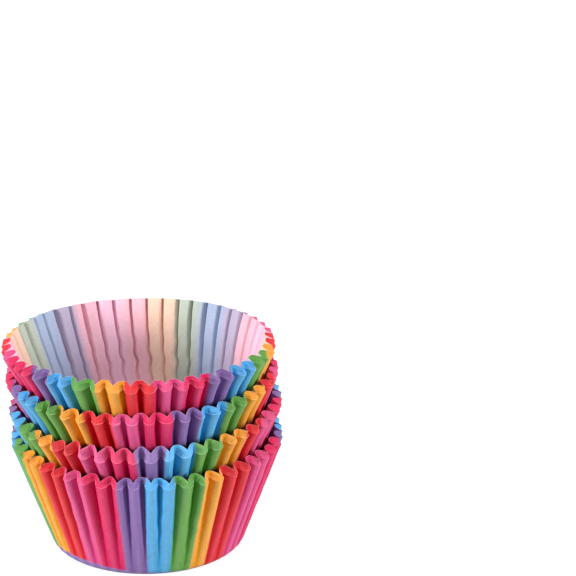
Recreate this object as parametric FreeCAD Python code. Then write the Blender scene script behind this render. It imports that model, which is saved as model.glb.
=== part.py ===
import FreeCAD, Part
import math
import os

# Four nests of pleated paper baking cups, loosely stacked. Millimetres, +Z up, base on Z = 0.

# One cup
base_diameter = 50.0
rim_diameter = 72.0
cup_height = 29.6
pleat_count = 48

# Pleats at the rim: depth across the wall, and places within one pleat as shares of its width
pleat_depth = 2.3
crest_share = 0.24
shoulder_share = 0.33
valley_share = 0.47
shoulder_drop = 0.22

# The inside of a nest, where thick paper makes each notch narrower and less deep
inner_depth_share = 0.78
notch_share = 0.04
notch_shoulder_share = 0.29
notch_mouth_share = 0.37
notch_shoulder_drop = 0.18

# A nest of cups pushed into one another
cups_in_nest = 22
paper_thickness = 0.045
rim_stagger = 1.5

# Foot of the wall
foot_size = 1.3
foot_pleat_share = 0.12

# Stack: gap across the wall between the crests of a nest and the inside of the one below
crest_gap = (0.1, 0.31, -0.05)
rise_to_side = (0.0, 0.026, 0.014, 0.006)
rise_to_front = (0.0, 0.0, 0.02, 0.03)
top_shift = 2.2

nest_thickness = cups_in_nest * paper_thickness
inner_pleat_depth = inner_depth_share * pleat_depth
base_radius = base_diameter / 2.0
rim_radius = rim_diameter / 2.0
slant_angle = math.atan2(rim_radius - base_radius, cup_height)
slant_length = math.hypot(rim_radius - base_radius, cup_height)
pleat_angle = 2.0 * math.pi / pleat_count

# Each nest stands on the flanks of the pleats below it, so its lift follows from the wall
wall_depth = nest_thickness + inner_pleat_depth
nest_lift = [0.0]
for gap in crest_gap:
    nest_lift.append(nest_lift[-1] + (wall_depth + gap) / math.sin(slant_angle))

# The stack bends gently towards -X above the highest floor
steepest_rise = max(rise_to_side + rise_to_front)
bend_start = nest_lift[-1] + nest_thickness + base_radius * steepest_rise
bend_rate = top_shift / (nest_lift[-1] + cup_height - bend_start) ** 2


def wall_point(slant, inward, angle):
    """Point at a distance up the slant of the wall and a distance in from its outer crests."""
    radius = base_radius + slant * math.sin(slant_angle) - inward * math.cos(slant_angle)
    height = slant * math.cos(slant_angle) + inward * math.sin(slant_angle)
    return FreeCAD.Vector(radius * math.cos(angle), radius * math.sin(angle), height)


def level_point(height, inward, angle):
    """Point at a height above the base and a distance in from the outer crests of the wall."""
    slant = (height - inward * math.sin(slant_angle)) / math.cos(slant_angle)
    return wall_point(slant, inward, angle)


def base_point(height, inward, angle):
    """Point of the flat base, set in from the wall by the size of the foot."""
    return level_point(height, inward + foot_size * math.cos(slant_angle), angle)


def mirrored(left):
    """The left half of a pleat followed by its mirror image."""
    return left + [(-share, inward) for share, inward in reversed(left)]


def outer_pleat(depth):
    """Fold points of one pleat of the outside: valley, shoulder and crest on each side."""
    drop = shoulder_drop * depth
    return mirrored([(-valley_share, depth), (-shoulder_share, drop), (-crest_share, 0.0)])


def inner_pleat(depth):
    """Fold points of one pleat of the inside: mouth, shoulder and notch on each side."""
    mouth = nest_thickness + depth
    shoulder = mouth - notch_shoulder_drop * depth
    notch = nest_thickness
    return mirrored([(-notch_mouth_share, mouth), (-notch_shoulder_share, shoulder), (-notch_share, notch)])


def ring(pleat, point, level):
    """All pleats of one level, with a crest of the outside towards the front."""
    points = []
    for number in range(pleat_count):
        middle = number * pleat_angle - math.pi / 2.0
        for share, inward in pleat:
            points.append(point(level, inward, middle + share * pleat_angle))
    return points


def set_in_stack(point, tier):
    """A point of a nest lifted to its place in the stack, with the tilt and the bend there."""
    z = point.z + nest_lift[tier]
    z += rise_to_side[tier] * point.x - rise_to_front[tier] * point.y
    x = point.x - bend_rate * max(0.0, z - bend_start) ** 2
    return FreeCAD.Vector(x, point.y, z)


def paper_face(corners):
    """Flat face with the given corners."""
    return Part.Face(Part.makePolygon(corners + corners[:1]))


def band(lower, upper):
    """Panels of paper between two rings, each creased along its diagonal."""
    faces = []
    for i in range(len(lower)):
        j = (i + 1) % len(lower)
        faces.append(paper_face([lower[i], lower[j], upper[j]]))
        faces.append(paper_face([lower[i], upper[j], upper[i]]))
    return faces


def make_nest(tier):
    """One nest: base, foot, pleated outside, staggered rim, pleated inside and floor."""
    foot_slant = foot_size / math.cos(slant_angle)
    rings = [
        ring(outer_pleat(0.0), base_point, 0.0),
        ring(outer_pleat(foot_pleat_share * pleat_depth), wall_point, foot_slant),
        ring(outer_pleat(pleat_depth), wall_point, slant_length),
        ring(inner_pleat(inner_pleat_depth), wall_point, slant_length + rim_stagger),
        ring(inner_pleat(foot_pleat_share * inner_pleat_depth), level_point, nest_thickness),
    ]
    rings = [[set_in_stack(point, tier) for point in points] for points in rings]
    faces = [paper_face(rings[0]), paper_face(rings[-1])]
    for lower, upper in zip(rings[:-1], rings[1:]):
        faces += band(lower, upper)
    shell = Part.makeShell(faces)
    shell.sewShape()
    solid = Part.makeSolid(shell)
    if solid.Volume < 0.0:
        solid.reverse()
    return solid


os.makedirs("parts", exist_ok=True)
for tier in range(len(nest_lift)):
    make_nest(tier).exportStep("parts/liner_nest_%d.step" % (tier + 1))
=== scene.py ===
import math
from collections import namedtuple

import bpy
import numpy as np
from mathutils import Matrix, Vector


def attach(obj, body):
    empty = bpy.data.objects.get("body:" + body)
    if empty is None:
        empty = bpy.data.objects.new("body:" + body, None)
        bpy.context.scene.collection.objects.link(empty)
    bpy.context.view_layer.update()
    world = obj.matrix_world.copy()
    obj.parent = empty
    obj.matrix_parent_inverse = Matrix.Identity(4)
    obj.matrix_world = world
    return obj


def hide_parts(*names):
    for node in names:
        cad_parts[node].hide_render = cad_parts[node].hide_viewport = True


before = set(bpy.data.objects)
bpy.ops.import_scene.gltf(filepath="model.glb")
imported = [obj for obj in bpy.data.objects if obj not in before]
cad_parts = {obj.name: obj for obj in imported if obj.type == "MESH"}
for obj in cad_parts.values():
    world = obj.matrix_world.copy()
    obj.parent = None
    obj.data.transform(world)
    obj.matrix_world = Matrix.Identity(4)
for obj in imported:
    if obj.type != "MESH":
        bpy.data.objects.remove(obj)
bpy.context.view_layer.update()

# Lengths are in millimetres, except where a comment says metres.
MM = 0.001

# One cup: a round sheet folded up into a flat base and a slanted, pleated wall
BASE_RADIUS = 25.0
RIM_RADIUS = 36.0
CUP_HEIGHT = 29.6
PLEATS = 48
PLEAT_ANGLE = 2.0 * math.pi / PLEATS
SLANT_ANGLE = math.atan2(RIM_RADIUS - BASE_RADIUS, CUP_HEIGHT)
SLANT_SIN = math.sin(SLANT_ANGLE)
SLANT_COS = math.cos(SLANT_ANGLE)
SLANT_LENGTH = math.hypot(RIM_RADIUS - BASE_RADIUS, CUP_HEIGHT)

# Depth of the pleats at the rim, the share left at the foot, and how it grows up the wall
OUTER_DEPTH = 2.75
FOOT_DEPTH_SHARE = 0.07
DEPTH_POWER = 0.9
CORNER_DEPTH_GAIN = 0.4
OUTER_FADE = 0.35

# One nest of cups. By nest, from the bottom: depth of the notches inside, and paper behind them
NESTS = 4
BOTTOM = 0
TOP = NESTS - 1
NEST_THICKNESS = 0.99
INNER_DEPTHS = (2.1, 2.15, 1.95, 2.3)
NOTCH_BACKS = (0.6, 0.4, 0.75, 1.05)

# Outside of a pleat, as shares of its width from its middle: crest, rounded edge and flank
CREST_EDGE = 0.225
FOOT_CREST_GAIN = 0.13
OUTER_ROUNDING = 0.082
CREST_CROWN = 0.27
VALLEY_EDGE = 0.49
OVERHANG_FROM = 0.18
OUTER_HALF = np.array([0.03, 0.11, 0.18, 0.22, 0.25, 0.29, 0.34, 0.39, 0.44, 0.485])

# Inside of a pleat: half the width of a notch's mouth, wide in front and narrow at the back
NOTCH_MOUTHS = (0.24, 0.30, 0.28, 0.25)
NARROW_MOUTH = 0.13
MOUTH_REACHES = (0.45, 0.45, 0.45, 0.5)
MOUTH_FALL = 1.1
NOTCH_ROUNDINGS = (0.056, 0.056, 0.052, 0.025)
TOP_MOUTH_FROM = 0.86
TOP_MOUTH_RISE = 0.1
INNER_HALF = np.array([0.014, 0.05, 0.10, 0.15, 0.19, 0.23, 0.27, 0.32, 0.39, 0.465])
COLUMNS = 2 * len(OUTER_HALF)
PAPER_STEPS = 401

# How uneven the pleats are: spreads, limits and shares kept in common with the neighbours
FIRST_SEED = 40
VALLEY_SHIFT = 0.05
VALLEY_DEPTH = 0.09
VALLEY_DEPTH_LIMITS = (-0.2, 0.16)
CREST_OUT = 0.14
CREST_OUT_LIMIT = 0.3
CREST_OUT_SHARED = 0.4
CREST_TILT = 0.22
CREST_WIDTH = 0.07
RIM_RISE = 0.10
RIM_RISE_LIMIT = 0.2
RIM_RISE_SHARED = 0.3
OVERHANG = 0.02
OVERHANG_RANGE = (0.2, 2.0)
MOUTH_SPREAD = 0.03

# Slow sideways wander of the folds outside, and fine rumples round the nest
WANDER_LEAST = 0.008
WANDER_RANGE = 0.02
WANDER_LENGTHS = (5.0, 8.5)
RUMPLES = 14
RUMPLE_SIZE = 0.012
RUMPLE_TURNS = (5, 60)
RUMPLE_RATES = (0.2, 1.1)
RUMPLE_STARTS = (0.0, 6.28)

# Zigzag of the notches inside, as a share of a pleat: strongest half way up at the back
CRINKLE_SIZE = 0.085
CRINKLE_HEIGHT = 15.5
CRINKLE_SPREAD = 7.0
CRINKLE_REACH = 0.35
CRINKLE_ELSEWHERE = 0.1
CRINKLE_LENGTH = 5.6
CRINKLE_VARIATION = 0.5
SECOND_CRINKLE = 0.22
SECOND_CRINKLE_START = 0.6

# How far the walls of the upper nests stand in below the rim band, over what height, and the
# share of it beside the stack, gained towards the front, and left behind
WAISTS = (0.0, 1.5, 1.5, 1.5)
WAIST_HEIGHT = 9.5
WAIST_BESIDE = 0.25
WAIST_TOWARDS_FRONT = 1.35
WAIST_LEAST = 0.1

# Rim band: the edges of the cups, in steps from the outermost cup to the innermost
RIM_LAYERS = 11
FIRST_LAYERS = 3
LAYER_STEPS = (0.5, 1.5)
EDGE_SHARES = (0.65, 0.95, 0.7, 0.65)
RIM_STAGGERS = (1.55, 1.7, 1.6, 1.6)
VALLEY_RISE_SHARE = 0.5
FRONT_DIPS = (0.55, 0.5, 0.55, 0.0)
BACK_DIPS = (0.0, 0.0, 0.0, 0.5)
DIP_POWER = 1.5

# Width that the paper has at a cut edge, and the share of the room beside a fold that it may fill
EDGE_WIDTH = 0.12
EDGE_ROOM = 0.8

# Where the outer cups of a nest hang lower in front
RIM_DROPS = (0.0, 1.5, 0.1, 0.0)
DROP_MIDDLE = math.radians(-8.0)
DROP_SPREAD = math.radians(30.0)
DROP_HEIGHT = 9.0

# Foot and floor
FOOT_ROUNDING = 3.3
FLOOR_ROUNDING = 1.6
BASE_RINGS = (0.05, 0.4, 0.75)
FLOOR_CENTRE = 0.04
FOOT_RINGS = 6
FLOOR_CORNER_RINGS = 5

# Rings up the outside and the inside of a nest, and across its floor
OUTER_RINGS = (40, 22, 22, 22)
INNER_RINGS = (8, 8, 8, 40)
FLOOR_RINGS = (2, 2, 2, 5)
GAP_RINGS = 2

# Material slot of each part of a nest's surface, and the angle from which an edge is sharp
SLOT_OF_PART = {"base": 0, "outside": 0, "edge": 1, "inner_edge": 2, "inside": 3, "floor": 3, "gap": 4}
SHARP_FROM = math.radians(42.0)

# The stack: lift of each nest, its rise per mm to the side and to the front, and its turn
WALL_DEPTH = 2.784
CREST_GAPS = (0.1, 0.31, -0.05)
RISE_TO_SIDE = (0.0, 0.026, 0.014, 0.006)
RISE_TO_FRONT = (0.0, 0.0, 0.02, 0.03)
PLEAT_PHASES = (1.7, 2.0, 2.9, 4.0)
LIFTS = [0.0]
for crest_gap in CREST_GAPS:
    LIFTS.append(LIFTS[-1] + (WALL_DEPTH + crest_gap) / SLANT_SIN)

# The upper walls bend: each rim stands this far towards -X, and leans on past its own height
BEND_START = LIFTS[-1] + NEST_THICKNESS + BASE_RADIUS * max(RISE_TO_SIDE + RISE_TO_FRONT)
RIM_SHIFTS = (0.0, 0.25, 1.1, 1.85)
RIM_LEAN = 0.02

# Shade on a wall where it goes down behind the rim of the nest below, by height above that rim
CLEAR = 10.0
SHADE_FROM = 0.35
SHADE_TO = -1.3
SHADE_LEFT = 0.12
SHADE_LOWER_AT_SIDES = 2.0

# Print: seven colours, four times round. Where purple meets blue turns the print of each nest.
COLOURS = ("purple", "blue", "green", "orange", "red", "pink", "hot_pink")
STRIPES = 28
PURPLE_BLUE_EDGE = (-0.4, 8.6, 26.0, 45.0)
INSIDE_TURN = 1.8

# Blur and wobble of the stripes' edges, in turns of the seven colours
OUTSIDE_BLUR = 0.004
OUTSIDE_WOBBLE = 0.006
INSIDE_BLUR = 0.022
INSIDE_WOBBLE = 0.01

# Whole turns and pleats that are added before a fraction is taken, so that none is below zero
SPARE_TURNS = 40.0
SPARE_PLEATS = 100.0

# Where the print is off its even spacing: nest, angle from the front, spread, and shift in stripes
PRINT_SHIFTS = (
    (0, -82.0, 11.0, 0.17),
    (0, -30.0, 5.0, 0.13),
    (0, 36.0, 10.0, 0.4),
    (3, -42.0, 16.0, -0.35),
    (3, -60.0, 5.0, -0.28),
    (3, -148.0, 14.0, 0.2),
    (3, 168.0, 14.0, -0.11),
)

# The disc in the middle of the print reaches a little up the wall on one side
DISC_RADIUS = 24.9
DISC_REACH = 3.1
DISC_REACH_AT = math.radians(-47.0)
DISC_REACH_POWER = 2.4

# Colours, in sRGB
OUTSIDE = {
    "purple": (0.53, 0.41, 0.66),
    "blue": (0.33, 0.68, 0.885),
    "green": (0.39, 0.64, 0.28),
    "orange": (0.94, 0.65, 0.22),
    "red": (0.86, 0.12, 0.18),
    "pink": (0.87, 0.31, 0.54),
    "hot_pink": (0.86, 0.11, 0.38),
}
INSIDE = {
    "purple": (0.71, 0.67, 0.77),
    "blue": (0.65, 0.71, 0.82),
    "green": (0.72, 0.76, 0.70),
    "orange": (0.94, 0.80, 0.71),
    "red": (0.95, 0.74, 0.78),
    "pink": (0.95, 0.76, 0.84),
    "hot_pink": (0.93, 0.72, 0.78),
}
DISC_COLOUR = (0.57, 0.47, 0.71)
FLOOR_TINT = (0.80, 0.77, 0.81)
PAINTED_SHEEN_COLOUR = (0.98, 0.94, 0.95)
# Pale of the crest's crease lines: rubbed print and a painted highlight
RUBBED_PRINT_AND_HIGHLIGHT = (0.98, 0.88, 0.90)
# Painted shade in the handling creases
CREASE_SHADE_COLOUR = (0.45, 0.25, 0.25)
# Painted shade in the notches inside
NOTCH_SHADE_COLOUR = (0.45, 0.28, 0.30)
BARE_PAPER = (0.97, 0.93, 0.92)

# Noise patterns: scale and detail
PRINT_NOISE = (420.0, 3.0)
TOOTH_NOISE = (2600.0, 4.0)
SOFT_NOISE = (260.0, 2.0)
MOTTLE_NOISE = (900.0, 5.0)
FLECK_NOISE = (1500.0, 6.0)
WEAR_AND_HIGHLIGHT_NOISE = (95.0, 2.0)
CREASE_NOISE = (75.0, 1.0)
CREASE_PATCH_NOISE = (110.0, 0.0)
FOLD_PATCH_NOISE = (70.0, 1.0)

# Length that the blank map's second number counts in
MAP_LENGTH = 60.0

# Outside, by distance from the middle of the crest: a painted sheen there, and painted shade, deeper in
# colour, in the valley
SHEEN_PLACES = (0.21, 0.05)
SHEEN = (0.02, 0.045)
SHEEN_LIGHT = 2.2
SHEEN_GROUND = 0.97
VALLEY_SHADE_PLACES = (0.16, 0.44)
VALLEY_SHADE_SATURATION = 1.06
VALLEY_SHADE_VALUE = 0.93

# Pale lines along the two crease lines of a crest, partly rubbed print and partly painted highlight, and
# creases from handling with painted shade, both in patches
WEAR_AND_HIGHLIGHT_PLACES = (0.028, 0.0)
WEAR_AND_HIGHLIGHT_PATCHES = (0.46, 0.68)
WEAR_AND_HIGHLIGHT = (0.0, 0.05)
CREASE_PLACES = (0.014, 0.0)
CREASE_PATCHES = (0.57, 0.66)
CREASE_SHADE = 0.2

# Inside: where the floor's tint ends, and the painted shade in the notches, across them and up the wall
FLOOR_TINT_ENDS = (23.0 / MAP_LENGTH, 26.0 / MAP_LENGTH)
NOTCH_PLACES = (0.085, 0.015)
NOTCH_SHADE = (0.0, 0.5)
NOTCH_SHADE_UP = (33.0 / MAP_LENGTH, 45.0 / MAP_LENGTH)
NOTCH_PATCHES = (0.38, 0.62)
NOTCH_PATCH_SHADE = (0.2, 1.0)

# Unevenness of the print's colour outside and inside, over the middle part of its noise
MIDDLE_OF_NOISE = (0.3, 0.7)
MOTTLE = (0.93, 1.06)
FLECKS = (0.93, 1.04)

# Edges of the cups: share of bare paper, and how light the painted shade leaves the gaps between the cups
BARE_AT_EDGE = 0.21
BARE_AT_LAYER = 0.07
SHADE_IN_GAP = 0.84

# Surface: height of the paper's tooth in metres, its strength, roughness and shine
TOOTH_HEIGHT = 0.00008
OUTSIDE_TOOTH = 0.5
OUTSIDE_ROUGHNESS = 0.48
OUTSIDE_SHINE = 0.45
INSIDE_TOOTH = 0.6
INSIDE_ROUGHNESS = 0.72
INSIDE_SHINE = 0.3
EDGE_ROUGHNESS = 0.8

# Camera: where the middle of the stack stands in the image, and how it is seen
IMAGE_SIDE = 576
STACK_PIXEL = (144.8, 430.9)
ELEVATION = 22.69
DISTANCE = 900.0
FOCAL_PIXELS = 3397.5
SENSOR_WIDTH = 36.0
STACK_MIDDLE = Vector((0.0, 0.0, 30.0))

# Nearest and farthest that the camera sees, in metres
NEAREST = 0.01
FARTHEST = 20.0

# Room, in metres: lamps with name, place, size and power, all aimed at one point
FLOOR_HALF = 3.0
FLOOR_GREY = (0.36, 0.36, 0.36, 1.0)
FLOOR_ROUGHNESS = 0.9
FLOOR_GLOW = 0.84
FLOOR_MIRRORED = 0.3
ROOM_LIGHT = 0.14
WHITE = (1.0, 1.0, 1.0, 1.0)
LAMP_TARGET = (0.0, 0.0, 0.03)
LAMPS = (
    ("key", (-1.00, -0.45, 0.32), 0.40, 13.7),
    ("fill", (0.98, -0.52, 0.28), 0.45, 11.1),
    ("top", (0.0, -0.25, 0.95), 0.45, 4.2),
)

# A level of the wall or base: where it is, which way inward points, and how deep the pleats are
Level = namedtuple("Level", "radius height inward_r inward_z slant growth paper_radius inset")


def unit(value):
    """The value, kept between 0 and 1."""
    return min(max(value, 0.0), 1.0)


def eased_out(share):
    """0 to 1, steep at first and level at the end."""
    return share * (1.5 - 0.5 * share ** 2)


def linear(colour):
    """An sRGB colour as linear RGBA."""
    return tuple(c / 12.92 if c <= 0.04045 else ((c + 0.055) / 1.055) ** 2.4 for c in colour) + (1.0,)


def soft_ramp(x, start, end, rounding):
    """0 before start, a straight rise to 1 at end, with a rounded corner at start."""
    def rise(v):
        return rounding * np.log1p(np.exp((v - start) / rounding))
    return np.minimum(rise(x) / rise(end), 1.0)


def outer_wave(f, edge=CREST_EDGE):
    """Share of the pleat depth at a place in the pleat, on the outside."""
    flank = soft_ramp(np.abs(f), edge, VALLEY_EDGE, OUTER_ROUNDING)
    return CREST_CROWN * (2.0 * f) ** 2 + (1.0 - CREST_CROWN) * flank


def inner_wave(f, mouth=NOTCH_MOUTHS[TOP], rounding=NOTCH_ROUNDINGS[TOP]):
    """Share of the pleat depth at a place in the pleat, on the inside: a sharp notch."""
    return 1.0 - soft_ramp(-np.abs(f), -mouth, 0.0, rounding)


def paper_share(f, wave, depth):
    """Place along the flat paper of a pleat, from -0.5 to 0.5, of the places f in the folded one."""
    grid = np.linspace(-0.5, 0.5, PAPER_STEPS)
    width = RIM_RADIUS * PLEAT_ANGLE
    steps = np.hypot(np.diff(grid) * width, np.diff(wave(grid)) * depth)
    run = np.concatenate([[0.0], np.cumsum(steps)])
    return np.interp(f, grid, run / run[-1] - 0.5)


def height_in_map(above):
    """The fold map's second number for a height above the rim below: 0.5 level with that rim."""
    return 0.5 + 0.5 * above / CLEAR


def corner_tangent(rounding):
    """Length from the corner of base and wall to where its rounding starts."""
    return rounding * math.tan((math.pi / 2.0 - SLANT_ANGLE) / 2.0)


F_OUTER = np.concatenate([-OUTER_HALF[::-1], OUTER_HALF])
F_INNER = np.concatenate([-INNER_HALF[::-1], INNER_HALF])
PAPER_OUTER = paper_share(F_OUTER, outer_wave, OUTER_DEPTH)
PAPER_INNER = paper_share(F_INNER, inner_wave, INNER_DEPTHS[TOP])


class Nest:
    """The mesh of one nest, built up ring by ring from the middle of its base to its floor."""

    def __init__(self, tier):
        self.tier = tier
        self.draw = np.random.default_rng(FIRST_SEED + tier)
        self.pleat = np.repeat(np.arange(PLEATS), COLUMNS)
        self.right = (self.pleat + 1) % PLEATS
        self.rings = []
        self.blank_places = []
        self.fold_places = []
        self.parts = []
        self.make_irregular()
        self.build()

    def around(self, spread, shared=0.0):
        """One random value for each pleat, partly shared with its neighbours."""
        values = self.draw.normal(0.0, 1.0, PLEATS)
        wide = (values + np.roll(values, 1) + np.roll(values, 2) + np.roll(values, 3)) / 2.0
        return spread * ((1.0 - shared) * values + shared * wide)

    def make_irregular(self):
        self.valley_shift = self.around(VALLEY_SHIFT)
        self.valley_depth = 1.0 + np.clip(self.around(VALLEY_DEPTH), *VALLEY_DEPTH_LIMITS)
        crest_out = self.around(CREST_OUT, CREST_OUT_SHARED)
        self.crest_out = np.clip(crest_out, -CREST_OUT_LIMIT, CREST_OUT_LIMIT)
        self.crest_tilt = self.around(CREST_TILT)
        self.crest_wide = 1.0 + self.around(CREST_WIDTH)
        rim_rise = self.around(RIM_RISE, RIM_RISE_SHARED)
        self.rim_rise = np.clip(rim_rise, -RIM_RISE_LIMIT, RIM_RISE_LIMIT)
        self.overhang = OVERHANG * self.draw.uniform(*OVERHANG_RANGE, PLEATS)
        self.mouth = NOTCH_MOUTHS[self.tier] + self.draw.uniform(-MOUTH_SPREAD, MOUTH_SPREAD, PLEATS)
        self.wander_size = WANDER_LEAST + WANDER_RANGE * self.draw.random(PLEATS)
        self.wander_length = self.draw.uniform(*WANDER_LENGTHS, PLEATS)
        self.wander_start = self.draw.uniform(0.0, 2.0 * math.pi, PLEATS)
        self.crinkle_length = CRINKLE_LENGTH + CRINKLE_VARIATION * self.around(1.0, 1.0)
        self.crinkle_start = CRINKLE_VARIATION * self.around(1.0, 1.0)
        self.rumples = [
            (
                self.draw.integers(*RUMPLE_TURNS),
                self.draw.uniform(*RUMPLE_RATES),
                self.draw.uniform(*RUMPLE_STARTS),
            )
            for _ in range(RUMPLES)
        ]

    def crinkle(self, slant):
        """Sideways zigzag of the notches on the inside."""
        from_front = (np.arange(PLEATS) - 0.5) * PLEAT_ANGLE
        from_back = np.sin((from_front - math.pi) / 2.0)
        near_back = np.exp(-((from_back / CRINKLE_REACH) ** 2))
        up = math.exp(-(((slant - CRINKLE_HEIGHT) / CRINKLE_SPREAD) ** 2))
        turn = 2.0 * math.pi * slant / self.crinkle_length + self.crinkle_start
        zigzag = np.sin(turn) + SECOND_CRINKLE * np.sin(2.0 * turn + SECOND_CRINKLE_START)
        size = CRINKLE_SIZE * (CRINKLE_ELSEWHERE + (1.0 - CRINKLE_ELSEWHERE) * near_back)
        return size * up * zigzag

    def waves(self, f, growth, full_growth):
        """Shares of the pleat depth outside and inside, with each pleat's own crest and mouth."""
        wave_f = np.clip(f / self.crest_wide[self.pleat] ** growth, -0.5, 0.5)
        edge = CREST_EDGE + FOOT_CREST_GAIN * (1.0 - min(1.0, full_growth))
        from_front = (self.pleat + f) * PLEAT_ANGLE
        open_share = np.clip(MOUTH_REACHES[self.tier] + MOUTH_FALL * np.cos(from_front), 0.0, 1.0)
        if self.tier == TOP:
            open_share = open_share * unit((full_growth - TOP_MOUTH_FROM) / TOP_MOUTH_RISE)
        mouth = NARROW_MOUTH + (self.mouth[self.pleat] - NARROW_MOUTH) * open_share
        return outer_wave(wave_f, edge), inner_wave(wave_f, mouth, NOTCH_ROUNDINGS[self.tier])

    def fold_depth(self, f, side, outer, inner):
        """How far the folded paper stands in from the line of the crests, at the rim."""
        valley = np.where(f < 0.0, self.valley_depth[self.pleat], self.valley_depth[self.right])
        notch_back = (NOTCH_BACKS[self.tier] - NEST_THICKNESS) * side
        outer_in = outer * OUTER_DEPTH * valley
        inner_in = inner * (INNER_DEPTHS[self.tier] - notch_back) * valley + notch_back
        crest = self.crest_out[self.pleat] + self.crest_tilt[self.pleat] * f
        on_crest = 1.0 - (1.0 - side) * outer - side * inner
        return (1.0 - side) * outer_in + side * inner_in - crest * on_crest

    def thickened(self, f, inward, radius, width):
        """Points of a fold moved by a paper's width, square to the fold's own line."""
        slope = np.gradient(inward, (self.pleat + f) * PLEAT_ANGLE * radius)
        length = np.hypot(1.0, slope)
        room = PLEAT_ANGLE * radius * np.minimum(np.abs(f), 0.5 - np.abs(f)) * EDGE_ROOM
        sideways = np.clip(-width * slope / length, -room, room)
        return inward + width / length, sideways

    def fold_angle(self, f, side, slant, reach):
        """Angles of the points round the nest, with the folds' wander, zigzag and overhang."""
        turn = 2.0 * math.pi * slant / self.wander_length + self.wander_start
        calm = math.sin(math.pi * unit(slant / SLANT_LENGTH)) ** 2
        wander = self.wander_size * np.sin(turn) * calm * (1.0 - side)
        shift = self.valley_shift * reach + wander + side * self.crinkle(slant)
        left_edge = self.pleat - 0.5 + shift[self.pleat]
        right_edge = self.pleat + 0.5 + shift[self.right]
        past_crest = np.clip((np.abs(f) - OVERHANG_FROM) / (0.5 - OVERHANG_FROM), 0.0, 1.0)
        bulge = np.sign(f) * np.sin(2.0 * math.pi * past_crest) * self.overhang[self.pleat] * reach
        place = left_edge + (f + bulge + 0.5) * (right_edge - left_edge)
        return place * PLEAT_ANGLE - math.pi / 2.0 + math.radians(PLEAT_PHASES[self.tier])

    def rumpled(self, angle, slant):
        """Fine rumples of the paper round the nest."""
        total = 0.0
        for turns, rate, start in self.rumples:
            total = total + RUMPLE_SIZE * np.sin(turns * angle + rate * slant + start)
        return total

    def rim_height(self, side, slant, growth, outer, angle):
        """How far points are moved up the slant: uneven rims, dips in front or behind, and drops."""
        from_front = angle + math.pi / 2.0
        frontness = np.cos(from_front)
        rise = self.rim_rise[self.pleat] * (1.0 - outer)
        rise = rise + self.rim_rise[self.right] * outer * VALLEY_RISE_SHARE
        dip = FRONT_DIPS[self.tier] * np.maximum(frontness, 0.0) ** DIP_POWER
        dip = dip + BACK_DIPS[self.tier] * np.maximum(-frontness, 0.0) ** DIP_POWER
        from_drop = np.sin((from_front - DROP_MIDDLE) / 2.0) * 2.0 / DROP_SPREAD
        near_rim = unit((slant - SLANT_LENGTH + DROP_HEIGHT) / DROP_HEIGHT)
        drop = RIM_DROPS[self.tier] * np.exp(-from_drop ** 2) * (1.0 - side) * near_rim
        return rise * growth ** 2 - drop - dip * unit(slant / SLANT_LENGTH) ** 2

    def waist(self, level, angle):
        """How far the wall stands in below the rim band, most in front."""
        below_rim = eased_out(unit((SLANT_LENGTH - level.slant) / WAIST_HEIGHT))
        on_base = min(1.0, level.radius / BASE_RADIUS)
        frontness = np.cos(angle + math.pi / 2.0)
        in_front = np.clip(WAIST_BESIDE + WAIST_TOWARDS_FRONT * frontness, WAIST_LEAST, 1.0)
        return WAISTS[self.tier] * below_rim * on_base * in_front

    def ring(self, level, side, width=0.0):
        """Adds one ring. side runs from 0, the outside, to 1, the inside."""
        growth = level.growth * (side + (1.0 - side) * min(1.0, level.growth) ** OUTER_FADE)
        reach = min(1.0, growth)
        f = np.tile((1.0 - side) * F_OUTER + side * F_INNER, PLEATS)
        paper = np.tile((1.0 - side) * PAPER_OUTER + side * PAPER_INNER, PLEATS)
        paper = f + (paper - f) * growth

        outer, inner = self.waves(f, growth, level.growth)
        inward = self.fold_depth(f, side, outer, inner) * growth + level.inset
        inward, sideways = self.thickened(f, inward, level.radius, width)
        angle = self.fold_angle(f, side, level.slant, reach) + sideways / level.radius
        inward = inward + self.rumpled(angle, level.slant) * reach
        along = self.rim_height(side, level.slant, growth, outer, angle)
        r = level.radius - self.waist(level, angle) + inward * level.inward_r + along * SLANT_SIN
        z = level.height + inward * level.inward_z + along * SLANT_COS

        self.rings.append((r * np.cos(angle), r * np.sin(angle), z))
        self.blank_places.append((self.pleat + paper, level.paper_radius))
        self.fold_places.append((self.pleat + f, self.above_rim_below(*self.rings[-1])))

    def wall_level(self, slant, inset=0.0):
        """A level of the wall, by the distance up its slant."""
        growth = FOOT_DEPTH_SHARE + (1.0 - FOOT_DEPTH_SHARE) * unit(slant / SLANT_LENGTH) ** DEPTH_POWER
        radius = BASE_RADIUS + slant * SLANT_SIN
        height = slant * SLANT_COS
        return Level(radius, height, -SLANT_COS, SLANT_SIN, slant, growth, BASE_RADIUS + slant, inset)

    def corner_levels(self, rounding, thickness, count):
        """Levels of the rounded corner between base and wall, from the base outwards."""
        turn = math.pi / 2.0 - SLANT_ANGLE
        tangent = corner_tangent(rounding)
        centre_r = BASE_RADIUS - corner_tangent(thickness) - tangent
        centre_z = thickness + rounding
        levels = []
        for share in np.linspace(0.0, 1.0, count):
            swing = turn * share
            radius = centre_r + rounding * math.sin(swing)
            height = centre_z - rounding * math.cos(swing)
            growth = FOOT_DEPTH_SHARE * share * (1.0 + CORNER_DEPTH_GAIN * share)
            paper = BASE_RADIUS + tangent * (2.0 * share - 1.0)
            levels.append(Level(radius, height, -math.sin(swing), math.cos(swing), 0.0, growth, paper, 0.0))
        return levels

    def flat_level(self, radius, height):
        """A level of the flat base or floor."""
        return Level(radius, height, 0.0, 1.0, 0.0, 0.0, radius, 0.0)

    def mark(self, name):
        """Names the part of the surface that the next ring's strip belongs to."""
        self.parts.append((name, len(self.rings)))

    def build(self):
        self.build_outside()
        rim_slant = self.build_rim_band()
        self.build_inside(rim_slant)

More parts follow.
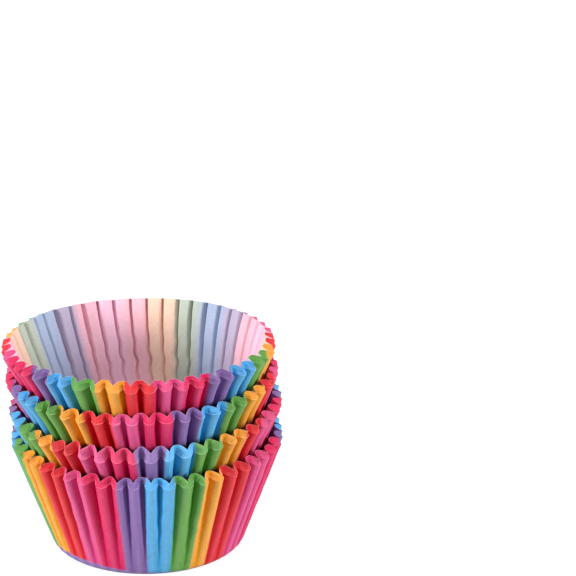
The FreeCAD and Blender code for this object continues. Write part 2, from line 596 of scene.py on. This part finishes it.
    def build_outside(self):
        self.mark("base")
        corner = self.corner_levels(FOOT_ROUNDING, 0.0, FOOT_RINGS)
        for share in BASE_RINGS:
            self.ring(self.flat_level(corner[0].radius * share, 0.0), 0.0)
        self.mark("outside")
        for level in corner:
            self.ring(level, 0.0)
        start = corner_tangent(FOOT_ROUNDING)
        for share in np.linspace(0.0, 1.0, OUTER_RINGS[self.tier] + 1)[1:]:
            self.ring(self.wall_level(start + (SLANT_LENGTH - start) * share), 0.0)

    def build_rim_band(self):
        """The steps of the rim band. Gives back how far up the slant the innermost cup ends."""
        slant = SLANT_LENGTH
        steps = self.draw.uniform(*LAYER_STEPS, RIM_LAYERS)
        steps *= RIM_STAGGERS[self.tier] / steps.sum()
        self.mark("edge")
        self.ring(self.wall_level(slant), 0.0, EDGE_WIDTH)
        for layer, step in enumerate(steps):
            side = (layer + FIRST_LAYERS) / (RIM_LAYERS + FIRST_LAYERS - 1)
            # A step has either an edge or the painted shade of a gap between cups
            self.mark("inner_edge" if self.draw.random() < EDGE_SHARES[self.tier] else "gap")
            self.ring(self.wall_level(slant, NEST_THICKNESS * side), side)
            self.mark("outside")
            slant += step
            self.ring(self.wall_level(slant, NEST_THICKNESS * side), side)
        self.mark("edge")
        self.ring(self.wall_level(slant, NEST_THICKNESS), 1.0, EDGE_WIDTH)
        return slant

    def build_inside(self, rim_slant):
        """The inside wall and the floor. Behind a nest that stands in it, the wall's top is dark: painted
        shade, the outside print darkened as in the gaps between cups.
        """
        self.mark("inside" if self.tier == TOP else "gap")
        start = corner_tangent(FLOOR_ROUNDING)
        for step, share in enumerate(np.linspace(1.0, 0.0, INNER_RINGS[self.tier] + 1)[1:]):
            if step == GAP_RINGS:
                self.mark("inside")
            slant = start + (rim_slant - start) * share
            self.ring(self.wall_level(slant, NEST_THICKNESS + EDGE_WIDTH), 1.0)
        corner = self.corner_levels(FLOOR_ROUNDING, NEST_THICKNESS, FLOOR_CORNER_RINGS)[::-1]
        for level in corner[1:]:
            self.ring(level, 1.0)
        self.mark("floor")
        for share in np.linspace(1.0, FLOOR_CENTRE, FLOOR_RINGS[self.tier] + 1)[1:]:
            self.ring(self.flat_level(corner[-1].radius * share, NEST_THICKNESS), 1.0)

    def placed(self, x, y, z):
        """Points lifted to their place in the stack, with the tilt and the bend there."""
        z = z + LIFTS[self.tier] + RISE_TO_SIDE[self.tier] * x - RISE_TO_FRONT[self.tier] * y
        top = LIFTS[self.tier] + CUP_HEIGHT
        share = np.maximum(0.0, (z - BEND_START) / (top - BEND_START))
        curve = np.where(share < 1.0, share ** 2 * (3.0 - 2.0 * share), 1.0)
        lean = RIM_LEAN * (z - top) * np.minimum(share, 1.0) ** 2
        x = x - RIM_SHIFTS[self.tier] * curve - np.where(share > 0.0, lean, 0.0)
        return np.stack([x, y, z], axis=1)

    def above_rim_below(self, x, y, z):
        """Height of points above the rim of the nest below, in mm and no more than CLEAR."""
        if self.tier == BOTTOM:
            return np.full(len(x), CLEAR)
        below = self.tier - 1
        rim = LIFTS[below] + (SLANT_LENGTH + RIM_STAGGERS[below]) * SLANT_COS
        frontness = np.maximum(-y / np.hypot(x, y), 0.0)
        rim = rim + RISE_TO_SIDE[below] * x - RISE_TO_FRONT[below] * y
        rim = rim - FRONT_DIPS[below] * frontness ** DIP_POWER - SHADE_LOWER_AT_SIDES * (1.0 - frontness)
        return np.clip(self.placed(x, y, z)[:, 2] - rim, -CLEAR, CLEAR)

    def print_shift(self, pleat):
        """How far the print is off its even spacing at a pleat, in stripes."""
        total = np.zeros(len(pleat))
        for tier, middle, spread, shift in PRINT_SHIFTS:
            if tier == self.tier:
                turn = (np.round(pleat) * 360.0 / PLEATS - middle + 180.0) % 360.0 - 180.0
                total = total + shift * np.exp(-((turn / spread) ** 2))
        return total

    def print_phase(self):
        """Stripe at the middle of the first pleat, from where purple meets blue."""
        return -STRIPES * (PURPLE_BLUE_EDGE[self.tier] - PLEAT_PHASES[self.tier]) / 360.0

    def strip_maps(self, k, column, after, turned):
        """Both maps' numbers at the four corners of each face between two rings."""
        blank = []
        fold = []
        for ring, corner in ((k, column), (k, after), (k + 1, after), (k + 1, column)):
            wrap = np.where((corner is after) & (after == 0), PLEATS, 0)
            pleat, radius = self.blank_places[ring]
            stripe = (pleat[corner] + wrap) * STRIPES / PLEATS + self.print_phase() - turned
            stripe = stripe + self.print_shift(pleat[corner])
            blank.append(np.stack([stripe / STRIPES, np.full(len(corner), radius / MAP_LENGTH)], axis=1))
            pleat, above = self.fold_places[ring]
            turn = (pleat[corner] + wrap) / PLEATS
            fold.append(np.stack([turn, height_in_map(above[corner])], axis=1))
        return np.stack(blank, axis=1).reshape(-1, 2), np.stack(fold, axis=1).reshape(-1, 2)

    def strips(self):
        """Faces between the rings, with their material slots and both maps."""
        count = PLEATS * COLUMNS
        column = np.arange(count)
        after = (column + 1) % count
        names = [part[0] for part in self.parts]
        starts = [part[1] for part in self.parts]
        faces, slots, blank, fold = [], [], [], []
        for k in range(len(self.rings) - 1):
            low = k * count
            high = low + count
            faces.append(np.stack([low + column, low + after, high + after, high + column], axis=1))
            part = names[np.searchsorted(starts, k + 1, side="right") - 1]
            slots.append(np.full(count, SLOT_OF_PART[part]))
            turned = INSIDE_TURN * STRIPES / 360.0 if part in ("inside", "floor") else 0.0
            strip_blank, strip_fold = self.strip_maps(k, column, after, turned)
            blank.append(strip_blank)
            fold.append(strip_fold)
        return np.concatenate(faces).tolist(), np.concatenate(slots).tolist(), blank, fold

    def fans(self):
        """Triangles that close the base and the floor, with their slots and blank map."""
        count = PLEATS * COLUMNS
        base_hub = len(self.rings) * count
        last = base_hub - count
        ends = (
            (0, base_hub, SLOT_OF_PART["base"], 0),
            (last, base_hub + 1, SLOT_OF_PART["floor"], -1),
        )
        faces, slots, blank = [], [], []
        for first, hub, slot, ring in ends:
            pleat, radius = self.blank_places[ring]
            rim_v = radius / MAP_LENGTH
            for j in range(count):
                here = first + j
                there = first + (j + 1) % count
                faces.append([hub, there, here] if ring == 0 else [hub, here, there])
                slots.append(slot)
                u = (pleat[j] * STRIPES / PLEATS + self.print_phase()) / STRIPES
                blank += [(u, 0.0), (u, rim_v), (u, rim_v)]
        return faces, slots, np.array(blank)

    def mesh_object(self, name, materials):
        points = [self.placed(*ring) for ring in self.rings]
        for height in (0.0, NEST_THICKNESS):
            points.append(self.placed(np.zeros(1), np.zeros(1), np.full(1, height)))
        faces, slots, blank, fold = self.strips()
        fan_faces, fan_slots, fan_blank = self.fans()

        mesh = bpy.data.meshes.new(name)
        mesh.from_pydata((np.concatenate(points) * MM).tolist(), [], faces + fan_faces)
        for material in materials:
            mesh.materials.append(material)
        mesh.polygons.foreach_set("material_index", slots + fan_slots)
        maps = {
            "blank": np.concatenate(blank + [fan_blank]),
            "fold": np.concatenate(fold + [np.zeros(fan_blank.shape)]),
        }
        for map_name, numbers in maps.items():
            layer = mesh.uv_layers.new(name=map_name)
            layer.data.foreach_set("uv", numbers.ravel())
        mesh.polygons.foreach_set("use_smooth", [True] * len(mesh.polygons))
        mesh.update()
        mesh.validate()
        mesh.set_sharp_from_angle(angle=SHARP_FROM)
        piece = bpy.data.objects.new(name, mesh)
        bpy.context.scene.collection.objects.link(piece)
        return piece


class Shading:
    """A node tree, with short ways to add to it."""

    def __init__(self, tree):
        self.nodes = tree.nodes
        self.links = tree.links

    def feed(self, socket, value):
        """Gives a socket a constant, or the output of another node."""
        if isinstance(value, (int, float, tuple)):
            socket.default_value = value
        else:
            self.links.new(value, socket)

    def math(self, operation, first, second=None):
        node = self.nodes.new("ShaderNodeMath")
        node.operation = operation
        self.feed(node.inputs[0], first)
        if second is not None:
            self.feed(node.inputs[1], second)
        return node.outputs[0]

    def mix(self, factor, first, second, blend="MIX"):
        node = self.nodes.new("ShaderNodeMix")
        node.data_type = "RGBA"
        node.blend_type = blend
        self.feed(node.inputs[0], factor)
        self.feed(node.inputs[6], first)
        self.feed(node.inputs[7], second)
        return node.outputs[2]

    def multiply_colour(self, colour, factor):
        return self.mix(1.0, colour, factor, "MULTIPLY")

    def passage(self, value, ends, results=(0.0, 1.0), smooth=True):
        """The first result up to the first end, the second one beyond the second, and a passage."""
        node = self.nodes.new("ShaderNodeMapRange")
        node.interpolation_type = "SMOOTHSTEP" if smooth else "LINEAR"
        node.inputs["From Min"].default_value, node.inputs["From Max"].default_value = ends
        node.inputs["To Min"].default_value, node.inputs["To Max"].default_value = results
        self.links.new(value, node.inputs["Value"])
        return node.outputs["Result"]

    def place(self):
        """Place in the object's own space."""
        return self.nodes.new("ShaderNodeTexCoord").outputs["Object"]

    def noise(self, place, pattern):
        node = self.nodes.new("ShaderNodeTexNoise")
        node.inputs["Scale"].default_value, node.inputs["Detail"].default_value = pattern
        self.links.new(place, node.inputs["Vector"])
        return node.outputs["Fac"]

    def map_numbers(self, map_name):
        """The two numbers of a mesh map."""
        node = self.nodes.new("ShaderNodeUVMap")
        node.uv_map = map_name
        split = self.nodes.new("ShaderNodeSeparateXYZ")
        self.links.new(node.outputs["UV"], split.inputs[0])
        return split.outputs["X"], split.outputs["Y"]


def new_material(name):
    """A material with one shader, and the short ways to add to it."""
    material = bpy.data.materials.new(name)
    material.use_nodes = True
    shading = Shading(material.node_tree)
    shading.nodes.clear()
    output = shading.nodes.new("ShaderNodeOutputMaterial")
    shader = shading.nodes.new("ShaderNodeBsdfPrincipled")
    shading.links.new(shader.outputs["BSDF"], output.inputs["Surface"])
    return material, shading, shader, output


def stripe_colour(shading, place, palette, blur, wobble):
    """The colour of the print at the paper's own place, which the blank map holds."""
    turns = shading.math("MULTIPLY", shading.map_numbers("blank")[0], STRIPES / len(COLOURS))
    wobbled = shading.math("MULTIPLY", shading.noise(place, PRINT_NOISE), wobble)
    turns = shading.math("ADD", turns, wobbled)
    turns = shading.math("ADD", turns, SPARE_TURNS)
    turns = shading.math("FRACT", turns)
    ramp = shading.nodes.new("ShaderNodeValToRGB")
    elements = ramp.color_ramp.elements
    while len(elements) > 1:
        elements.remove(elements[-1])
    order = COLOURS[1:] + COLOURS[:1]
    share = 1.0 / len(order)
    elements[0].position = 0.0
    elements[0].color = linear(palette[order[0]])
    for i, name in enumerate(order):
        colour = linear(palette[name])
        if i > 0:
            elements.new(i * share + blur).color = colour
        elements.new((i + 1) * share - blur).color = colour
    elements.new(1.0).color = linear(palette[order[0]])
    shading.links.new(turns, ramp.inputs["Fac"])
    return ramp.outputs["Color"]


def in_disc(shading):
    """1 on the disc in the middle of the print, 0 on the stripes. Its edge has a step at each pleat."""
    turn, radius = shading.map_numbers("blank")
    steps = shading.math("MULTIPLY", turn, float(PLEATS))
    steps = shading.math("ROUND", steps)
    turn = shading.math("DIVIDE", steps, float(PLEATS))
    angle = shading.math("MULTIPLY", turn, 2.0 * math.pi)
    angle = shading.math("SUBTRACT", angle, DISC_REACH_AT)
    reach = shading.math("COSINE", angle)
    reach = shading.math("MAXIMUM", reach, 0.0)
    reach = shading.math("POWER", reach, DISC_REACH_POWER)
    reach = shading.math("MULTIPLY", reach, DISC_REACH / MAP_LENGTH)
    reach = shading.math("ADD", reach, DISC_RADIUS / MAP_LENGTH)
    return shading.math("LESS_THAN", radius, reach)


def from_crest(shading):
    """Distance from the middle of the crest as a share of the pleat, up to 0.5 in the valley."""
    across = shading.math("MULTIPLY", shading.map_numbers("fold")[0], float(PLEATS))
    across = shading.math("ADD", across, SPARE_PLEATS + 0.5)
    across = shading.math("FRACT", across)
    across = shading.math("SUBTRACT", across, 0.5)
    return shading.math("ABSOLUTE", across)


def shade_behind_rim(shading):
    """1 where the wall is in the open, and down to SHADE_LEFT behind the rim of the nest below."""
    height = shading.map_numbers("fold")[1]
    ends = (height_in_map(SHADE_TO), height_in_map(SHADE_FROM))
    return shading.passage(height, ends, (SHADE_LEFT, 1.0))


def painted_fold_light(shading, colour, across):
    """The print with a painted sheen, paler and brighter, on the crests and painted shade, darker and
    richer, in the valleys.
    """
    sheen = shading.passage(across, SHEEN_PLACES, SHEEN)
    pale = shading.mix(sheen, colour, linear(PAINTED_SHEEN_COLOUR))
    lit = shading.math("MULTIPLY", sheen, SHEEN_LIGHT)
    lit = shading.math("ADD", lit, SHEEN_GROUND)
    pale = shading.multiply_colour(pale, lit)
    # Painted shade in the valleys: the print darker and more saturated
    valley_shade = shading.nodes.new("ShaderNodeHueSaturation")
    valley_shade.inputs["Saturation"].default_value = VALLEY_SHADE_SATURATION
    valley_shade.inputs["Value"].default_value = VALLEY_SHADE_VALUE
    shading.links.new(colour, valley_shade.inputs["Color"])
    return shading.mix(shading.passage(across, VALLEY_SHADE_PLACES), pale, valley_shade.outputs["Color"])


def crease_wear_and_highlight(shading, place, across):
    """How pale the print is along the two crease lines of each crest: partly rubbed, partly a painted
    highlight.
    """
    off = shading.math("SUBTRACT", across, CREST_EDGE)
    off = shading.math("ABSOLUTE", off)
    line = shading.passage(off, WEAR_AND_HIGHLIGHT_PLACES)
    amount = shading.passage(shading.noise(place, WEAR_AND_HIGHLIGHT_NOISE), WEAR_AND_HIGHLIGHT_PATCHES, WEAR_AND_HIGHLIGHT, smooth=False)
    return shading.math("MULTIPLY", line, amount)


def handling_creases(shading, place):
    """Short fine lines where the paper was bent in handling, 1 on a line and 0 elsewhere."""
    off = shading.math("SUBTRACT", shading.noise(place, CREASE_NOISE), 0.5)
    off = shading.math("ABSOLUTE", off)
    line = shading.passage(off, CREASE_PLACES)
    here = shading.passage(shading.noise(place, CREASE_PATCH_NOISE), CREASE_PATCHES)
    return shading.math("MULTIPLY", line, here)


def paper_relief(shading, shader, place, strength, creases=None):
    """Fine tooth of the paper, and its creases where there are any."""
    height = shading.math("ADD", shading.noise(place, TOOTH_NOISE), shading.noise(place, SOFT_NOISE))
    if creases is not None:
        height = shading.math("SUBTRACT", height, creases)
    bump = shading.nodes.new("ShaderNodeBump")
    bump.inputs["Strength"].default_value = strength
    bump.inputs["Distance"].default_value = TOOTH_HEIGHT
    shading.links.new(height, bump.inputs["Height"])
    shading.links.new(bump.outputs["Normal"], shader.inputs["Normal"])


def outside_print_and_painted_light():
    """Outside of the paper: stripes and disc, painted sheen and valley shade on the folds, crease lines of
    rubbed print and painted highlight, creases with painted shade, and the painted shade behind a rim.
    """
    material, shading, shader, _ = new_material("outside_print_and_painted_light")
    place = shading.place()
    across = from_crest(shading)
    colour = stripe_colour(shading, place, OUTSIDE, OUTSIDE_BLUR, OUTSIDE_WOBBLE)
    colour = shading.mix(in_disc(shading), colour, linear(DISC_COLOUR))
    # Painted sheen on the crests and painted shade in the valleys
    colour = painted_fold_light(shading, colour, across)
    # Crease lines: rubbed print and a painted highlight
    colour = shading.mix(crease_wear_and_highlight(shading, place, across), colour, linear(RUBBED_PRINT_AND_HIGHLIGHT))
    creases = handling_creases(shading, place)
    # Painted shade in the handling creases
    colour = shading.mix(shading.math("MULTIPLY", creases, CREASE_SHADE), colour, linear(CREASE_SHADE_COLOUR))
    mottle = shading.passage(shading.noise(place, MOTTLE_NOISE), MIDDLE_OF_NOISE, MOTTLE, smooth=False)
    colour = shading.multiply_colour(colour, mottle)
    colour = shading.multiply_colour(colour, shade_behind_rim(shading))
    shading.links.new(colour, shader.inputs["Base Color"])
    shader.inputs["Roughness"].default_value = OUTSIDE_ROUGHNESS
    shader.inputs["Specular IOR Level"].default_value = OUTSIDE_SHINE
    paper_relief(shading, shader, place, OUTSIDE_TOOTH, creases)
    return material


def paper_edge(name, bare, shade=1.0):
    """Cut edges of the paper: the print's colour with a share of bare paper, and its shade."""
    material, shading, shader, _ = new_material(name)
    colour = stripe_colour(shading, shading.place(), OUTSIDE, OUTSIDE_BLUR, OUTSIDE_WOBBLE)
    colour = shading.mix(bare, colour, linear(BARE_PAPER))
    colour = shading.multiply_colour(colour, (shade, shade, shade, 1.0))
    shading.links.new(colour, shader.inputs["Base Color"])
    shader.inputs["Roughness"].default_value = EDGE_ROUGHNESS
    return material


def notch_shade(shading, place, radius):
    """How much painted shade the notches inside get: unevenly so, and fading out down the wall."""
    line = shading.passage(from_crest(shading), NOTCH_PLACES, NOTCH_SHADE)
    upper = shading.passage(radius, NOTCH_SHADE_UP, smooth=False)
    patches = shading.noise(place, FOLD_PATCH_NOISE)
    uneven = shading.passage(patches, NOTCH_PATCHES, NOTCH_PATCH_SHADE, smooth=False)
    return shading.math("MULTIPLY", shading.math("MULTIPLY", line, upper), uneven)


def inside_print_and_painted_shade():
    """Inside of the paper: the print showing through, the plain floor and painted shade in the notches."""
    material, shading, shader, _ = new_material("inside_print_and_painted_shade")
    place = shading.place()
    radius = shading.map_numbers("blank")[1]
    colour = stripe_colour(shading, place, INSIDE, INSIDE_BLUR, INSIDE_WOBBLE)
    on_wall = shading.passage(radius, FLOOR_TINT_ENDS, smooth=False)
    colour = shading.mix(on_wall, linear(FLOOR_TINT), colour)
    flecks = shading.passage(shading.noise(place, FLECK_NOISE), MIDDLE_OF_NOISE, FLECKS, smooth=False)
    colour = shading.multiply_colour(colour, flecks)
    # Painted shade in the notches
    colour = shading.mix(notch_shade(shading, place, radius), colour, linear(NOTCH_SHADE_COLOUR))
    shading.links.new(colour, shader.inputs["Base Color"])
    shader.inputs["Roughness"].default_value = INSIDE_ROUGHNESS
    shader.inputs["Specular IOR Level"].default_value = INSIDE_SHINE
    paper_relief(shading, shader, place, INSIDE_TOOTH)
    return material


def make_stack():
    materials = [
        outside_print_and_painted_light(),
        paper_edge("paper_edge", BARE_AT_EDGE),
        paper_edge("layer_edge", BARE_AT_LAYER),
        inside_print_and_painted_shade(),
        # Painted shade in the gaps between the cups
        paper_edge("layer_gap", 0.0, SHADE_IN_GAP),
    ]
    for tier in range(NESTS):
        name = "liner_nest_%d" % (tier + 1)
        piece = Nest(tier).mesh_object(name + "_paper", materials)
        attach(piece, "root")
        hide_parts(name)


def make_floor():
    """A plain pale floor that takes the shadow and looks white."""
    mesh = bpy.data.meshes.new("floor")
    corners = [(x * FLOOR_HALF, y * FLOOR_HALF, 0.0) for x, y in ((-1, -1), (1, -1), (1, 1), (-1, 1))]
    mesh.from_pydata(corners, [], [(0, 1, 2, 3)])
    floor = bpy.data.objects.new("floor", mesh)
    bpy.context.scene.collection.objects.link(floor)
    material, shading, shader, output = new_material("floor")
    shader.inputs["Base Color"].default_value = FLOOR_GREY
    shader.inputs["Roughness"].default_value = FLOOR_ROUGHNESS
    path = shading.nodes.new("ShaderNodeLightPath")
    seen = shading.math("MULTIPLY", path.outputs["Is Camera Ray"], FLOOR_GLOW)
    mirrored = shading.math("MULTIPLY", path.outputs["Is Glossy Ray"], FLOOR_MIRRORED)
    glow = shading.nodes.new("ShaderNodeEmission")
    shading.links.new(shading.math("MAXIMUM", seen, mirrored), glow.inputs["Strength"])
    both = shading.nodes.new("ShaderNodeAddShader")
    shading.links.new(shader.outputs["BSDF"], both.inputs[0])
    shading.links.new(glow.outputs["Emission"], both.inputs[1])
    shading.links.new(both.outputs["Shader"], output.inputs["Surface"])
    floor.data.materials.append(material)


def make_background():
    """White where the camera sees it, and a soft light on everything."""
    world = bpy.data.worlds.new("studio")
    bpy.context.scene.world = world
    world.use_nodes = True
    shading = Shading(world.node_tree)
    background = shading.nodes["Background"]
    path = shading.nodes.new("ShaderNodeLightPath")
    seen = shading.math("MAXIMUM", path.outputs["Is Camera Ray"], path.outputs["Is Glossy Ray"])
    seen = shading.math("MAXIMUM", seen, path.outputs["Is Transmission Ray"])
    level = shading.passage(seen, (0.0, 1.0), (ROOM_LIGHT, 1.0), smooth=False)
    shading.links.new(level, background.inputs["Strength"])
    background.inputs["Color"].default_value = WHITE


def area_light(name, place, size, power):
    light = bpy.data.lights.new(name, "AREA")
    light.shape = "DISK"
    light.size = size
    light.energy = power
    lamp = bpy.data.objects.new(name, light)
    lamp.location = place
    direction = Vector(LAMP_TARGET) - Vector(place)
    lamp.rotation_euler = direction.to_track_quat("-Z", "Y").to_euler()
    bpy.context.scene.collection.objects.link(lamp)


def make_camera():
    data = bpy.data.cameras.new("camera")
    camera = bpy.data.objects.new("camera", data)
    bpy.context.scene.collection.objects.link(camera)
    rise = math.radians(ELEVATION)
    back = Vector((0.0, -math.cos(rise), math.sin(rise)))
    up = Vector((0.0, math.sin(rise), math.cos(rise)))
    right = Vector((1.0, 0.0, 0.0))
    place = STACK_MIDDLE + back * DISTANCE
    half = IMAGE_SIDE / 2.0
    scale = DISTANCE / FOCAL_PIXELS
    aim = STACK_MIDDLE + right * (half - STACK_PIXEL[0]) * scale + up * (STACK_PIXEL[1] - half) * scale
    camera.location = place * MM
    camera.rotation_euler = (aim - place).to_track_quat("-Z", "Y").to_euler()
    data.sensor_width = SENSOR_WIDTH
    data.lens = FOCAL_PIXELS * SENSOR_WIDTH / IMAGE_SIDE
    data.clip_start = NEAREST
    data.clip_end = FARTHEST
    bpy.context.scene.camera = camera


make_stack()
make_floor()
make_background()
for lamp_name, lamp_place, lamp_size, lamp_power in LAMPS:
    area_light(lamp_name, lamp_place, lamp_size, lamp_power)
make_camera()
bpy.context.scene.view_settings.view_transform = "Standard"
